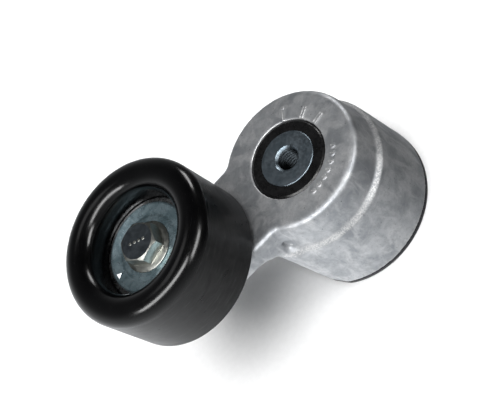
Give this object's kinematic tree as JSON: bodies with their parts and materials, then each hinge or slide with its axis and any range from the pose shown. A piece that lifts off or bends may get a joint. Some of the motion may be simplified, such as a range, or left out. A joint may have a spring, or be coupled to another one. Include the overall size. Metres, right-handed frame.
{
  "type": "belt tensioner idler",
  "caption": "Spring-loaded belt tensioner: a cast arm turns on a fixed spindle and carries a smooth idler pulley on a sealed ball bearing.",
  "frame": {"origin": "where the pivot axis meets the flat rear face of the base plate", "axes": "+Z along the pivot axis from the rear face towards the pulley side, +X from the pivot to the pulley with the arm on its free stop"},
  "size_m": [0.1461, 0.0822, 0.0995],
  "materials": {
    "black_steel": "satin black phosphate",
    "zinc_steel": "zinc plated, satin, faint blue",
    "zinc_sheet": "zinc plated sheet, bright on the formed edges",
    "bright_steel": "ground steel",
    "ball_steel": "polished bearing steel",
    "spring_steel": "black phosphated spring wire",
    "cast_aluminium": "as cast, mottled, with worn bright edges",
    "white_plastic": "natural nylon",
    "bush_plastic": "filled nylon",
    "black_plastic": "satin black",
    "cage_plastic": "glass filled nylon",
    "seal_rubber": "matt black rubber",
    "black_coat": "gloss black e-coat, satin on the belt face"
  },
  "bodies": {
    "base": {"base_plate": "black_steel", "pivot_spindle": "zinc_steel", "rear_thrust_washer": "white_plastic", "friction_ring": "white_plastic", "stop_pin": "bright_steel", "spring_anchor": "bright_steel", "torsion_spring": "spring_steel"},
    "arm": {"arm_housing": "cast_aluminium", "rear_bushing": "bush_plastic", "front_bushing": "bush_plastic", "thrust_collar": "black_plastic", "pulley_bolt": "zinc_steel", "front_dust_shield": "zinc_sheet", "rear_dust_shield": "zinc_sheet", "bearing_inner_ring": "bright_steel"},
    "cage": {"bearing_cage": "cage_plastic", "bearing_ball_1": "ball_steel", "bearing_ball_2": "ball_steel", "bearing_ball_3": "ball_steel", "bearing_ball_4": "ball_steel", "bearing_ball_5": "ball_steel", "bearing_ball_6": "ball_steel", "bearing_ball_7": "ball_steel"},
    "pulley": {"pulley_shell": "black_coat", "bearing_outer_ring": "bright_steel", "front_seal": "seal_rubber", "rear_seal": "seal_rubber"}
  },
  "joints": [
    {"name": "arm_pivot", "type": "hinge", "parent": "base", "child": "arm", "pos_m": [0, 0, 0], "axis": [0, 0, 1], "range_deg": [0, 60], "stiffness_Nm_per_rad": 6, "springref_deg": -28.65, "deforming": ["torsion_spring"]},
    {"name": "pulley_spin", "type": "hinge", "parent": "arm", "child": "pulley", "pos_m": [0.067, 0, 0.0766], "axis": [0, 0, 1], "continuous": true},
    {"name": "cage_spin", "type": "hinge", "parent": "arm", "child": "cage", "pos_m": [0.067, 0, 0.0766], "axis": [0, 0, 1], "continuous": true}
  ],
  "couplings": [
    {"joint": "cage_spin", "follows": "pulley_spin", "ratio": 0.6364}
  ]
}
